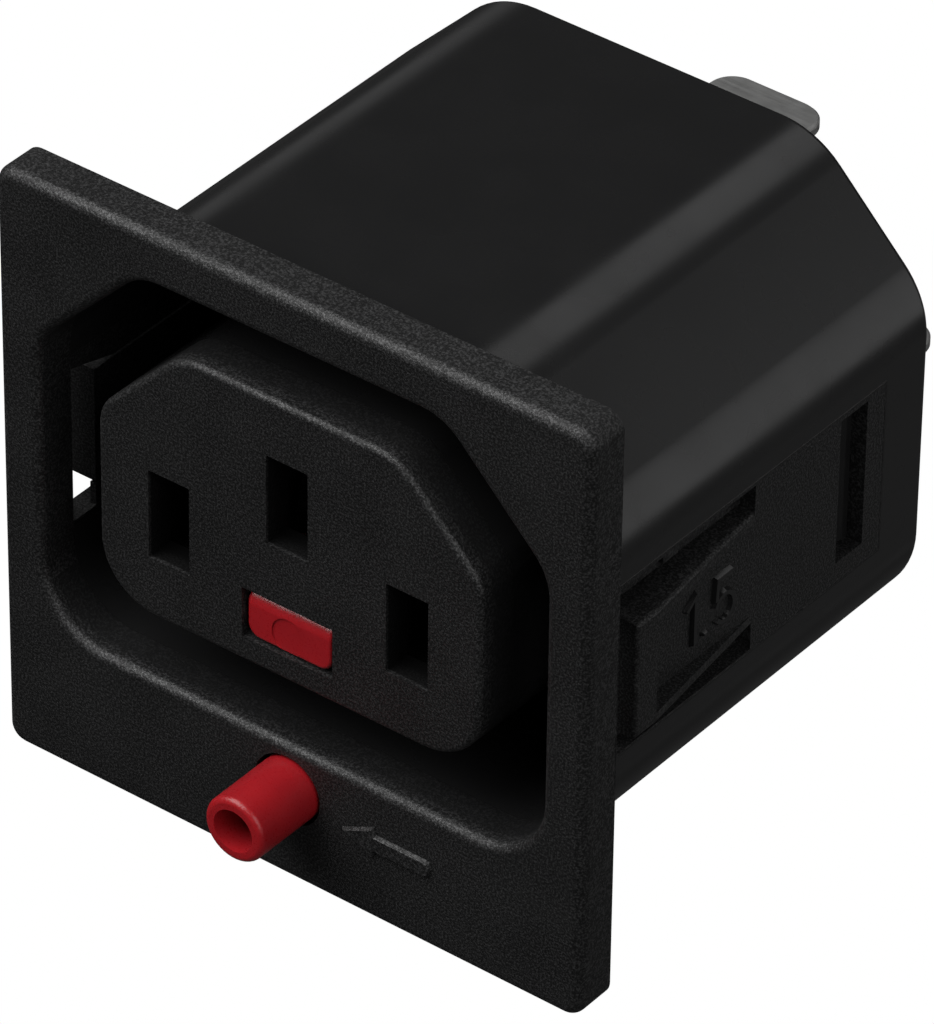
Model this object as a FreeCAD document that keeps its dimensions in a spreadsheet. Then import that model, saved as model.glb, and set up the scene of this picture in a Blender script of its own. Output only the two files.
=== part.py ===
import FreeCAD, Part
import math
import os
import Sketcher

# Locking panel power outlet with the IEC 60320 sheet F face, snapped into a panel from the front.
#
# Frame: millimetres. The panel's front face is the plane y = 0, the face of the outlet looks
# along -Y, +X is to the right and +Z is up. The origin is midway between the line and neutral
# slots, in the panel plane.

document = FreeCAD.newDocument("locking_panel_outlet")

# ---------------------------------------------------------------------------------------------
# Sizes
# ---------------------------------------------------------------------------------------------

SIZES = [
    # pins of the plug, from the standard
    ("pin_pitch", 14.0, "line pin to neutral pin"),
    ("earth_offset", 4.0, "earth pin above the line of the others"),
    ("slot_half_width", 1.22, "half the width of a pin slot"),
    ("slot_half_height", 2.48, "half the height of a pin slot"),
    # chambers inside the nose
    ("chamber_gap", 0.05, "gap beside the jaws in a line or neutral chamber"),
    ("chamber_top", 3.0, "top of a line or neutral chamber"),
    ("chamber_bottom", 3.45, "bottom of a line or neutral chamber"),
    ("lock_room", 4.3, "room above the middle of the earth pin for the lock plate"),
    ("lock_step", 3.0, "step in the middle chamber that stops the lock plate"),
    ("lock_step_drop", 0.3, "drop of the chamber's ceiling in front of the step"),
    # nose that enters the plug
    ("nose_cheek", 1.89, "wall of the nose beside a chamber"),
    ("nose_roof", 1.4, "wall of the nose above the middle chamber"),
    ("nose_sill", 1.42, "wall of the nose below the window"),
    ("nose_leg", 4.95, "leg of the nose's chamfered corners"),
    ("nose_round", 3.0, "radius at the upper ends of the nose's chamfers"),
    ("nose_side_round", 2.2, "radius at the lower ends of the nose's chamfers"),
    ("nose_foot_round", 3.3, "radius at the nose's lower corners"),
    ("nose_edge", 0.35, "rounding of the nose's front edge"),
    ("face_thick", 1.6, "thickness of the nose's face"),
    # recess that the plug's collar enters
    ("collar_side", 3.56, "width of the recess beside the nose"),
    ("collar_top", 3.22, "width of the recess above the nose"),
    ("collar_bottom", 3.7, "width of the recess below the nose"),
    ("recess_leg", 6.0, "leg of the recess's chamfered corners"),
    ("recess_round", 3.0, "radius at the recess's chamfered corners"),
    ("recess_foot_round", 3.7, "radius at the recess's lower corners"),
    ("recess_lip", 0.5, "rounding of the recess's mouth"),
    ("recess_depth", 18.55, "depth of the recess from the face"),
    ("floor_thick", 2.0, "thickness of the recess's floor"),
    # shroud, behind the panel
    ("wall_side", 1.2, "side wall of the shroud"),
    ("wall_top", 1.41, "upper wall of the shroud"),
    ("wall_bottom", 1.13, "lower wall of the shroud"),
    ("body_leg", 6.75, "leg of the shroud's chamfered upper corners"),
    ("body_round", 4.9, "radius of the shroud's corners"),
    ("rear_room", 7.3, "length of the shroud behind the recess's floor"),
    ("body_rear_edge", 0.4, "rounding of the shroud's rear edge"),
    # bezel, in front of the panel
    ("rim_side", 1.23, "how far the bezel stands out beside the shroud"),
    ("rim_top", 1.37, "how far the bezel stands out above the shroud"),
    ("rim_bottom", 2.5, "how far the bezel stands out below the tunnel"),
    ("bezel_thick", 2.35, "thickness of the bezel"),
    ("bezel_corner", 1.0, "corner radius of the bezel's outline"),
    ("bezel_edge", 0.6, "rounding of the bezel's front edge"),
    # window and the red tongue in it
    ("window_top", 1.65, "top of the window below the line of the pins"),
    ("window_bottom", 4.48, "bottom of the window below the line of the pins"),
    ("tongue_recess", 0.17, "how far the tongue's front lies behind the face"),
    ("tongue_round", 0.75, "radius of the tongue's lower corners"),
    ("tongue_edge", 0.85, "rounding of the tongue's upper front edge"),
    ("tongue_rim", 0.2, "rounding round the rest of the tongue's front"),
    ("mark_radius", 0.97, "radius of the ejector mark on the tongue"),
    ("mark_depth", 0.08, "depth of the ejector mark"),
    ("mark_drop", 3.44, "ejector mark below the line of the pins"),
    ("mark_shift", 0.08, "ejector mark to the left of the middle"),
    # release button and slider
    ("button_radius", 1.75, "radius of the release button"),
    ("bore_land", 0.15, "flat between the recess's rounded mouth and the bore"),
    ("button_proud", 4.0, "how far the button stands out of the bezel"),
    ("button_edge", 0.32, "rounding of the button's rim"),
    ("button_hole", 1.15, "radius of the blind hole in the button"),
    ("button_hole_depth", 3.4, "depth of the blind hole"),
    ("bore_clearance", 0.2, "gap round the button in its bore"),
    ("bore_length", 2.8, "length of the bore behind the panel plane"),
    ("slider_half", 2.5, "half the width of the slider"),
    ("slide_clearance", 0.17, "gap at the slider's sides"),
    ("slider_height", 2.3, "height of the slider's bar"),
    ("neck_half_width", 1.2, "half the width of the slider's neck inside the bore"),
    ("slider_gap", 0.15, "gap above and below the slider's bar"),
    ("tongue_gap_top", 0.105, "gap above the tongue in the window"),
    ("tongue_gap_bottom", 0.09, "gap below the tongue in the window"),
    ("web_thick", 1.5, "thickness of the slider's upright web"),
    ("slider_travel", 2.0, "travel of the button"),
    ("tunnel_half", 3.9, "half the width of the tunnel below the shroud"),
    ("tunnel_wall", 1.45, "wall below the slider's way"),
    ("tunnel_edge", 0.8, "rounding of the tunnel's lower edges"),
    # lock plate that grips the earth pin
    ("plate_side_gap", 0.22, "gap beside the lock plate in its chamber"),
    ("tail_gap", 0.66, "gap between the lock plate's tail and the tongue"),
    ("plate_thick", 1.0, "thickness of the lock plate"),
    ("plate_tilt", 12.5, "tilt of the lock plate at rest, degrees"),
    ("plate_hole_half_width", 1.15, "half the width of the lock plate's hole"),
    ("plate_hole_half_height", 2.12, "half the height of the lock plate's hole"),
    ("plate_clearance", 0.12, "gap round the lock plate's seat"),
    ("pusher_height", 1.2, "height of the slider's pusher above the tongue"),
    ("pusher_gap", 0.15, "gap between the pusher and the lock plate's tail"),
    ("pusher_length", 1.2, "length of the pusher"),
    # contacts
    ("sheet_thick", 0.8, "thickness of the contacts' sheet"),
    ("jaw_height", 4.2, "height of a contact's jaws"),
    ("jaw_throat", 0.85, "half the gap between the jaws at their throat"),
    ("jaw_flare", 0.65, "how far each jaw's mouth opens beyond the throat"),
    ("jaw_root", 1.05, "half the gap between the jaws at their root"),
    ("jaw_length", 10.8, "length of the jaws"),
    ("jaw_web", 4.0, "length of the web that joins the jaws"),
    ("jaw_taper", 1.95, "length of the jaws' mouths"),
    ("jaw_lap", 0.4, "how far the jaws run into the sheet of the web"),
    ("web_shift", 0.6, "earth contact's web above its jaws' middle, beyond half their height"),
    ("mouth_gap", 3.0, "line and neutral contacts' mouths behind the nose's face"),
    ("earth_mouth_gap", 0.8, "gap between the lock plate and the earth contact's mouth"),
    ("stem_half", 1.85, "half the width of a contact's stem"),
    ("shoulder_half", 4.0, "half the width of a contact's shoulders"),
    ("tab_half", 3.15, "half the width of a blade terminal"),
    ("tab_proud", 9.85, "how far the blade terminals stand out behind the shroud"),
    ("tab_corner", 1.5, "radius of a blade terminal's corners"),
    ("tab_bevel", 0.2, "bevel of a blade terminal's edges"),
    ("tab_hole", 0.85, "radius of the hole in a blade terminal"),
    ("tab_hole_back", 4.0, "hole of a blade terminal from its end"),
    ("seat_gap", 0.1, "gap at each end of a contact's shoulders"),
    # rear cover
    ("cover_plate", 2.2, "thickness of the rear cover"),
    ("cover_inset", 0.2, "how far the cover lies inside the rear edge"),
    ("cover_clearance", 0.15, "gap round the rear cover"),
    ("cover_slot_gap", 0.15, "gap round a blade in the cover"),
    ("arm_thick", 1.1, "thickness of the cover's snap arms"),
    ("lug_proud", 0.45, "how far a lug enters the side slot"),
    ("lug_gap", 0.2, "gap between a lug and the end of the side slot"),
    ("foot_thick", 1.0, "thickness of the cover's foot in the tunnel"),
    ("prong_half", 1.2, "half the width of the prong that carries the lock spring"),
    ("prong_front", 8.0, "front end of the prong"),
    # openings in the shroud's sides
    ("side_slot_set", 0.36, "upright slot behind the back of the recess's floor"),
    ("side_slot_length", 2.1, "length of the upright slot"),
    ("side_slot_top", 4.42, "top of the upright slot"),
    ("side_slot_bottom", 3.75, "bottom of the upright slot"),
    # snap tongues
    ("panel_max", 1.5, "thickest panel that the snap tongues take"),
    ("snap_play", 0.15, "play between the panel and the snap tongues"),
    ("snap_root", 11.92, "root of the snap tongues behind the panel face"),
    ("snap_top", 3.0, "top edge of a snap tongue"),
    ("snap_bottom", 3.44, "bottom edge of a snap tongue"),
    ("snap_open_top", 4.55, "top of the opening round a snap tongue"),
    ("snap_open_bottom", 4.82, "bottom of the opening round a snap tongue"),
    ("snap_gap", 0.15, "gap beside a snap tongue"),
    ("snap_skin", 0.35, "skin left inside the channels beside a snap tongue"),
    ("snap_rise", 0.95, "top of the window before a snap tongue, above its top edge"),
    ("snap_taper", 1.4, "length over which the window narrows to the gap"),
    ("snap_proud", 1.05, "how far a snap tongue stands out at its free end"),
    ("snap_pad", 1.6, "length of the flat pad at the free end"),
    ("snap_rib", 0.6, "width of the ribs along a snap tongue"),
    ("snap_edge", 0.2, "rounding of the snap tongue's raised edges"),
    ("nib_front", 5.1, "front end of the small nib above a snap tongue"),
    ("nib_length", 1.1, "length of the nib"),
    ("nib_height", 0.6, "height of the nib"),
    ("nib_set", 0.17, "nib behind the outside of the shroud"),
    ("tool_reach", 1.0, "how far a cut starts outside the moulding"),
    ("foot_gap", 0.3, "gap above the cover's foot"),
    ("lug_slope", 0.4, "flat at the tip of a lug"),
    # springs
    ("lock_wire", 0.14, "wire radius of the lock plate's spring"),
    ("lock_coil", 1.0, "mean coil radius of the lock plate's spring"),
    ("lock_turns", 3.0, "turns of the lock plate's spring"),
    ("return_wire", 0.15, "wire radius of the button's spring"),
    ("return_coil", 0.95, "mean coil radius of the button's spring"),
    ("return_turns", 3.0, "turns of the button's spring"),
    ("spring_gap", 0.12, "gap at each end of a spring"),
]

sheet = document.addObject("Spreadsheet::Sheet", "Sizes")


class Size:
    """A number that also knows its formula in the spreadsheet, so it can place and bind."""

    def __init__(self, number, formula):
        self.number = number
        self.formula = formula

    def __add__(self, other):
        other = as_size(other)
        return Size(self.number + other.number, f"({self.formula} + {other.formula})")

    def __sub__(self, other):
        other = as_size(other)
        return Size(self.number - other.number, f"({self.formula} - {other.formula})")

    def __mul__(self, other):
        other = as_size(other)
        return Size(self.number * other.number, f"({self.formula} * {other.formula})")

    def __truediv__(self, other):
        other = as_size(other)
        return Size(self.number / other.number, f"({self.formula} / {other.formula})")

    def __neg__(self):
        return Size(-self.number, f"(0 - {self.formula})")

    def __radd__(self, other):
        return as_size(other) + self

    def __rsub__(self, other):
        return as_size(other) - self

    def __rmul__(self, other):
        return as_size(other) * self


def as_size(value):
    """Turn a plain number into a Size."""
    return value if isinstance(value, Size) else Size(float(value), f"{value}")


class Sizes:
    """The spreadsheet's cells as attributes, each one a Size."""


s = Sizes()
for row, (alias, number, note) in enumerate(SIZES, start=1):
    sheet.set(f"A{row}", note)
    sheet.set(f"B{row}", str(number))
    sheet.setAlias(f"B{row}", alias)
    setattr(s, alias, Size(number, f"Sizes.{alias}"))
document.recompute()

# ---------------------------------------------------------------------------------------------
# Tools for building with sketches
# ---------------------------------------------------------------------------------------------

ORIGIN = -1            # geometry number of a sketch's origin and horizontal axis
VERTICAL_AXIS = -2     # geometry number of a sketch's vertical axis
START, END, CENTRE = range(1, 4)   # points of a line, an arc or a circle
ALMOST = 1e-4          # two lengths closer than this are the same
EDGE = 0.01            # a point this close to an outline counts as within it

PLANE_FOR = {"front": "XZ_Plane", "top": "XY_Plane", "side": "YZ_Plane"}

parts = {}


def new_body(name):
    """Start a sub-part as a PartDesign body."""
    body = document.addObject("PartDesign::Body", name)
    body.Label = name
    parts[name] = body
    return body


def new_sketch(body, view, level, name):
    """Sketch on a plane parallel to an origin plane of the body, at a level along its normal.

    A front view is drawn in x and z, a top view in x and y, a side view in y and z.
    """
    planes = [item for item in body.Origin.OriginFeatures if item.Role == PLANE_FOR[view]]
    sketch = body.newObject("Sketcher::SketchObject", name)
    sketch.AttachmentSupport = [(planes[0], "")]
    sketch.MapMode = "FlatFace"
    level = as_size(level)
    # the normal of the front plane points along -Y, the other two along their own axis
    lift = -level if view == "front" else level
    sketch.setExpression("AttachmentOffset.Base.z", lift.formula)
    return sketch


def pin_point(sketch, geometry, point, across, up):
    """Hold a point of the sketch at a place that is worked out from the spreadsheet."""
    for kind, axis, size in (("DistanceX", VERTICAL_AXIS, across), ("DistanceY", ORIGIN, up)):
        if abs(size.number) < ALMOST:
            sketch.addConstraint(Sketcher.Constraint("PointOnObject", geometry, point, axis))
            continue
        hold = Sketcher.Constraint(kind, ORIGIN, START, geometry, point, size.number)
        number = sketch.addConstraint(hold)
        sketch.setExpression(f"Constraints[{number}]", size.formula)


def polygon(sketch, corners, construction=False):
    """Closed outline through the corners, each an (across, up) pair."""
    corners = [(as_size(across), as_size(up)) for across, up in corners]
    count = len(corners)
    points = [FreeCAD.Vector(across.number, up.number, 0) for across, up in corners]
    first = sketch.GeometryCount
    for index in range(count):
        line = Part.LineSegment(points[index], points[(index + 1) % count])
        sketch.addGeometry(line, construction)
    for index in range(count):
        following = (index + 1) % count
        join = Sketcher.Constraint("Coincident", first + index, END, first + following, START)
        sketch.addConstraint(join)
    for index, (across, up) in enumerate(corners):
        pin_point(sketch, first + index, START, across, up)
    return points, first


def rounded(sketch, corners, radii):
    """Closed outline with an arc at each corner, drawn over its sharp outline.

    The corners run anticlockwise. Each side lies on a construction line of the sharp outline and
    is tangent to the arcs at its two ends.
    """
    points, sharp = polygon(sketch, corners, construction=True)
    count = len(points)
    arcs = []
    for index, radius in enumerate(radii):
        came = (points[index] - points[index - 1]).normalize()
        goes = (points[(index + 1) % count] - points[index]).normalize()
        reach = radius.number * math.tan(came.getAngle(goes) / 2)
        start = points[index] - came * reach
        end = points[index] + goes * reach
        centre = start + FreeCAD.Vector(-came.y, came.x, 0) * radius.number
        ring = Part.Circle(centre, FreeCAD.Vector(0, 0, 1), radius.number)
        first_angle = math.atan2(start.y - centre.y, start.x - centre.x)
        turn = came.getAngle(goes)
        arcs.append((start, end, Part.ArcOfCircle(ring, first_angle, first_angle + turn)))
    sides = sketch.GeometryCount
    for index in range(count):
        leaves = arcs[index][1]
        arrives = arcs[(index + 1) % count][0]
        sketch.addGeometry(Part.LineSegment(leaves, arrives), False)
    for _, _, arc in arcs:
        sketch.addGeometry(arc, False)
    for index in range(count):
        side = sides + index
        arc = sides + count + index
        before = sides + (index - 1) % count
        sketch.addConstraint([
            Sketcher.Constraint("PointOnObject", side, START, sharp + index),
            Sketcher.Constraint("PointOnObject", side, END, sharp + index),
            Sketcher.Constraint("Tangent", before, END, arc, START),
            Sketcher.Constraint("Tangent", arc, END, side, START),
        ])
        hold = sketch.addConstraint(Sketcher.Constraint("Radius", arc, radii[index].number))
        sketch.setExpression(f"Constraints[{hold}]", radii[index].formula)


def rectangle(sketch, left, right, low, high):
    """Closed rectangle."""
    polygon(sketch, [(left, low), (right, low), (right, high), (left, high)])


def circle(sketch, across, up, radius):
    """Circle with its centre and radius bound to the spreadsheet."""
    across, up, radius = as_size(across), as_size(up), as_size(radius)
    centre = FreeCAD.Vector(across.number, up.number, 0)
    number = sketch.GeometryCount
    sketch.addGeometry(Part.Circle(centre, FreeCAD.Vector(0, 0, 1), radius.number), False)
    pin_point(sketch, number, CENTRE, across, up)
    hold = sketch.addConstraint(Sketcher.Constraint("Radius", number, radius.number))
    sketch.setExpression(f"Constraints[{hold}]", radius.formula)


def volume(body):
    """Volume of the body as it now stands."""
    document.recompute()
    return body.Shape.Volume if body.Tip else 0.0


def extrude(body, kind, sketch, length, towards_normal, name):
    """Pad or Pocket a sketch and make sure that it changed the body."""
    before = volume(body)
    feature = body.newObject(f"PartDesign::{kind}", name)
    feature.Profile = sketch
    feature.setExpression("Length", as_size(length).formula)
    # a pad runs along its sketch's normal, a pocket against it
    feature.Reversed = towards_normal == (kind == "Pocket")
    after = volume(body)
    gained = after - before
    if (kind == "Pad" and gained < ALMOST) or (kind == "Pocket" and gained > -ALMOST):
        raise RuntimeError(f"{name} changed nothing")
    return feature


def pad_back(body, view_level, name, length, draw, *drawing):
    """Front view outline at a level along Y, padded towards the rear."""
    sketch = new_sketch(body, "front", view_level, name + "_outline")
    draw(sketch, *drawing)
    return extrude(body, "Pad", sketch, length, False, name)


def cut_back(body, view_level, name, length, draw, *drawing):
    """Front view outline at a level along Y, cut towards the rear."""
    sketch = new_sketch(body, "front", view_level, name + "_outline")
    draw(sketch, *drawing)
    return extrude(body, "Pocket", sketch, length, False, name)


def cut_forward(body, view_level, name, length, draw, *drawing):
    """Front view outline at a level along Y, cut towards the front."""
    sketch = new_sketch(body, "front", view_level, name + "_outline")
    draw(sketch, *drawing)
    return extrude(body, "Pocket", sketch, length, True, name)


def pad_up(body, level, name, length, draw, *drawing):
    """Top view outline at a level along Z, padded upwards."""
    sketch = new_sketch(body, "top", level, name + "_outline")
    draw(sketch, *drawing)
    return extrude(body, "Pad", sketch, length, True, name)


def round_edges(body, radius, name, chosen, kind="Fillet"):
    """Fillet or chamfer each edge for which chosen(edge) is true."""
    document.recompute()
    names = [f"Edge{n}" for n, edge in enumerate(body.Shape.Edges, start=1) if chosen(edge)]
    if not names:
        raise RuntimeError(f"{name} found no edges")
    base = body.Tip
    feature = body.newObject(f"PartDesign::{kind}", name)
    feature.Base = (base, names)
    feature.setExpression("Radius" if kind == "Fillet" else "Size", as_size(radius).formula)
    document.recompute()
    if feature.Shape.isNull() or not feature.Shape.isValid():
        raise RuntimeError(f"{name} failed")
    return feature


def middle(edge):
    """Point halfway along an edge."""
    return edge.valueAt((edge.FirstParameter + edge.LastParameter) / 2)


def runs_along(edge, axis):
    """True where an edge is straight and parallel to the axis 0, 1 or 2."""
    if not isinstance(edge.Curve, Part.Line):
        return False
    direction = edge.Curve.Direction
    return abs(abs((direction.x, direction.y, direction.z)[axis]) - 1) < ALMOST


def lies_at(edge, axis, level):
    """True where the whole edge lies in the plane across an axis at a level."""
    box = edge.BoundBox
    low = (box.XMin, box.YMin, box.ZMin)[axis]
    high = (box.XMax, box.YMax, box.ZMax)[axis]
    return abs(low - level) < EDGE and abs(high - level) < EDGE


def outline(half, top, bottom, leg):
    """Corners of the face's outline: a rectangle whose two upper corners are cut at 45 degrees."""
    return [
        (-half, -bottom),
        (half, -bottom),
        (half, top - leg),
        (half - leg, top),
        (-(half - leg), top),
        (-half, top - leg),
    ]


def within(point, corners):
    """True where a point lies within an outline or on it."""
    _, lower_right, right, upper_right, _, _ = corners
    half = lower_right[0].number
    top = upper_right[1].number
    cut = right[0].number + right[1].number
    return (abs(point.x) < half + EDGE and lower_right[1].number - EDGE < point.z < top + EDGE
            and abs(point.x) + point.z < cut + EDGE)


# ---------------------------------------------------------------------------------------------
# Levels that several pieces share
# ---------------------------------------------------------------------------------------------

face = -s.bezel_thick                              # front of the bezel and of the nose
recess_floor = s.recess_depth - s.bezel_thick      # floor of the recess
inner_floor = recess_floor + s.floor_thick         # the same floor, seen from the rear
body_length = inner_floor + s.rear_room            # rear edge of the shroud
face_back = face + s.face_thick                    # back of the nose's face
pin_x = s.pin_pitch / 2
jaw_outer = s.jaw_throat + s.jaw_flare + s.sheet_thick
chamber_half = jaw_outer + s.chamber_gap           # half the width of a line or neutral chamber
window_half = s.slider_half + s.slide_clearance    # half the width of the window
lock_top = s.earth_offset + s.lock_room            # top of the middle chamber

nose_half = pin_x + chamber_half + s.nose_cheek
nose_top = lock_top + s.nose_roof
nose_bottom = s.window_bottom + s.nose_sill
recess_half = nose_half + s.collar_side
recess_top = nose_top + s.collar_top
recess_bottom = nose_bottom + s.collar_bottom
body_half = recess_half + s.wall_side
body_top = recess_top + s.wall_top
body_bottom = recess_bottom + s.wall_bottom

bore_radius = s.button_radius + s.bore_clearance
button_drop = recess_bottom + s.recess_lip + s.bore_land + bore_radius
bar_top = s.slider_height / 2 - button_drop
bar_bottom = -(button_drop + s.slider_height / 2)
way_bottom = bar_bottom - s.slider_gap             # floor of the slider's way
tunnel_bottom = way_bottom - s.tunnel_wall
bezel_half = body_half + s.rim_side
bezel_top = body_top + s.rim_top
bezel_bottom = tunnel_bottom - s.rim_bottom

snap_end = s.panel_max + s.snap_play               # free end of the snap tongues
side_slot_front = inner_floor + s.side_slot_set
cover_back = body_length - s.cover_inset
cover_front = cover_back - s.cover_plate
foot_front = cover_back - s.foot_thick
bar_front = s.bore_length + s.slider_gap           # the bar's shoulder stops behind the bore
button_end = s.bore_length - s.slider_travel - s.slider_gap
web_front = inner_floor + s.slider_gap
web_back = web_front + s.web_thick
tongue_front = face + s.tongue_recess
tongue_top = -(s.window_top + s.tongue_gap_top)
tongue_bottom = -(s.window_bottom - s.tongue_gap_bottom)
plate_y = s.lock_step + s.plate_clearance          # hinge line of the lock plate
plate_z = lock_top - s.plate_clearance
tilt = math.radians(s.plate_tilt.number)
plate_length = (plate_z - tongue_top - s.tail_gap) / math.cos(tilt)
plate_half = window_half - s.plate_side_gap
tab_end = body_length + s.tab_proud
line_web_top = -(s.jaw_height / 2)                 # the web lies below the line and neutral pins
earth_web_bottom = s.earth_offset + s.jaw_height / 2 + s.web_shift
collar_outline = outline(recess_half, recess_top, recess_bottom, s.recess_leg)
collar_radii = [s.recess_foot_round] * 2 + [s.recess_round] * 4
nose_outline = outline(nose_half, nose_top, nose_bottom, s.nose_leg)
nose_radii = [s.nose_foot_round] * 2 + [s.nose_side_round, s.nose_round,
                                        s.nose_round, s.nose_side_round]


# ---------------------------------------------------------------------------------------------
# Housing: bezel, shroud, nose, release tunnel and snap tongues in one moulding
# ---------------------------------------------------------------------------------------------

def housing_shell(body):
    """Bezel, shroud and tunnel, then the annular recess that leaves the nose standing in it."""
    pad_back(body, face, "bezel", s.bezel_thick, rounded, [
        (-bezel_half, bezel_bottom),
        (bezel_half, bezel_bottom),
        (bezel_half, bezel_top),
        (-bezel_half, bezel_top),
    ], [s.bezel_corner] * 4)
    shroud = outline(body_half, body_top, body_bottom, s.body_leg)
    pad_back(body, 0, "shroud", body_length, rounded, shroud, [s.body_round] * 6)
    pad_back(body, 0, "release_tunnel", body_length, rectangle,
             -s.tunnel_half, s.tunnel_half, tunnel_bottom, -recess_bottom)
    round_edges(body, s.tunnel_edge, "tunnel_edges",
                lambda edge: runs_along(edge, 1) and middle(edge).y > 0
                and middle(edge).z < tunnel_bottom.number + EDGE)

    def collar_and_nose(sketch):
        rounded(sketch, collar_outline, collar_radii)
        rounded(sketch, nose_outline, nose_radii)

    cut_back(body, face, "plug_recess", s.recess_depth, collar_and_nose)


def housing_inside(body):
    """Rear cavity, contact chambers, pin slots, window and the slider's ways."""
    rear = body_length
    cut_forward(body, rear, "rear_cavity", rear - inner_floor, rounded,
                collar_outline, collar_radii)
    chamber = inner_floor - face_back
    for side, label in ((-1, "line"), (1, "neutral")):
        centre = side * pin_x
        cut_forward(body, inner_floor, label + "_chamber", chamber, rectangle,
                    centre - chamber_half, centre + chamber_half,
                    -s.chamber_bottom, s.chamber_top)
    cut_forward(body, inner_floor, "middle_chamber", chamber, rectangle,
                -window_half, window_half, -s.window_bottom, lock_top - s.lock_step_drop)
    cut_forward(body, inner_floor, "lock_plate_chamber", inner_floor - s.lock_step, rectangle,
                -window_half, window_half, s.earth_offset, lock_top)

    def slots(sketch):
        for across, up in ((-pin_x, as_size(0)), (pin_x, as_size(0)),
                           (as_size(0), s.earth_offset)):
            rectangle(sketch, across - s.slot_half_width, across + s.slot_half_width,
                      up - s.slot_half_height, up + s.slot_half_height)
        rectangle(sketch, -window_half, window_half, -s.window_bottom, -s.window_top)

    cut_back(body, face, "pin_slots", s.face_thick, slots)
    cut_back(body, face, "button_bore", s.bezel_thick + s.bore_length, circle,
             0, -button_drop, bore_radius)
    cut_forward(body, rear, "slider_way", rear - s.bore_length, rectangle,
                -window_half, window_half, way_bottom, bar_top + s.slider_gap)
    cut_forward(body, rear, "web_way", rear - inner_floor, rectangle,
                -window_half, window_half, bar_top, -(recess_bottom - s.slider_gap))


def housing_sides(body):
    """Snap tongues with their ribs and pads, and the upright slots for the cover's lugs."""
    channel_depth = s.wall_side - s.snap_skin
    for side, label in ((-1, "left"), (1, "right")):
        outer = side * (body_half + s.snap_proud + s.tool_reach)
        to_skin = s.snap_proud + s.tool_reach
        through = to_skin + s.wall_side + s.tool_reach

        def cut_side(name, depth, draw, *drawing):
            sketch = new_sketch(body, "side", outer, f"{label}_{name}_outline")
            draw(sketch, *drawing)
            extrude(body, "Pocket", sketch, depth, side < 0, f"{label}_{name}")

        def channels(sketch):
            rectangle(sketch, 0, s.snap_root, -s.snap_open_bottom, -s.snap_bottom)
            rectangle(sketch, 0, s.snap_root, s.snap_top, s.snap_open_top)

        cut_side("snap_channels", to_skin + channel_depth, channels)
        cut_side("snap_gap", through, polygon, [
            (0, -s.snap_open_bottom),
            (snap_end, -s.snap_open_bottom),
            (snap_end, -(s.snap_bottom + s.snap_gap)),
            (s.snap_root, -(s.snap_bottom + s.snap_gap)),
            (s.snap_root, -s.snap_bottom),
            (snap_end, -s.snap_bottom),
            (snap_end, s.snap_top),
            (s.snap_root, s.snap_top),
            (s.snap_root, s.snap_top + s.snap_gap),
            (snap_end + s.snap_taper, s.snap_top + s.snap_gap),
            (0, s.snap_top + s.snap_rise),
        ])
        cut_side("cover_slot", through, rectangle, side_slot_front,
                 side_slot_front + s.side_slot_length, -s.side_slot_bottom, s.side_slot_top)

        base = side * (body_half - s.wall_side / 2)
        crest = side * (body_half + s.snap_proud)
        ridge = [(base, snap_end), (crest, snap_end), (crest, snap_end + s.snap_pad),
                 (side * body_half, s.snap_root), (base, s.snap_root)]
        pad = [(base, snap_end), (crest, snap_end), (crest, snap_end + s.snap_pad),
               (base, snap_end + s.snap_pad)]
        pad_up(body, -s.snap_bottom, label + "_lower_rib", s.snap_rib, polygon, ridge)
        pad_up(body, s.snap_top - s.snap_rib, label + "_upper_rib", s.snap_rib, polygon, ridge)
        pad_up(body, -s.snap_bottom, label + "_snap_pad", s.snap_top + s.snap_bottom,
               polygon, pad)
        nib = [side * (body_half - channel_depth), side * (body_half - s.nib_set)]
        pad_up(body, s.snap_open_top - s.nib_height, label + "_nib",
               s.nib_height + s.wall_side / 2, rectangle,
               *sorted(nib, key=lambda edge: edge.number),
               s.nib_front, s.nib_front + s.nib_length)


def housing_edges(body):
    """Roundings that a hand would feel: bezel, recess mouth, nose and rear edge."""
    front = face.number

    def on_front(edge):
        return lies_at(edge, 1, front)

    def in_recess(edge):
        return on_front(edge) and within(middle(edge), collar_outline)

    def on_nose(edge):
        return in_recess(edge) and within(middle(edge), nose_outline)

    def at_slot(edge):
        point = middle(edge)
        across = pin_x.number + s.slot_half_width.number + EDGE
        return (abs(point.x) < across
                and -s.window_bottom.number - EDGE < point.z
                and point.z < s.earth_offset.number + s.slot_half_height.number + EDGE)

    def at_bore(edge):
        return (isinstance(edge.Curve, Part.Circle)
                and abs(edge.Curve.Radius - bore_radius.number) < EDGE
                and abs(edge.Curve.Center.x) < EDGE)

    round_edges(body, s.bezel_edge, "bezel_front_edge",
                lambda edge: on_front(edge) and not in_recess(edge) and not at_bore(edge))
    round_edges(body, s.recess_lip, "recess_mouth",
                lambda edge: in_recess(edge) and not on_nose(edge) and not at_bore(edge))
    round_edges(body, s.nose_edge, "nose_front_edge",
                lambda edge: on_nose(edge) and not at_slot(edge))
    rear = body_length.number

    def outer_rear(edge):
        point = middle(edge)
        return (lies_at(edge, 1, rear) and not within(point, collar_outline)
                and point.z > -body_bottom.number - EDGE)

    round_edges(body, s.body_rear_edge, "rear_edge", outer_rear)


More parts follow.
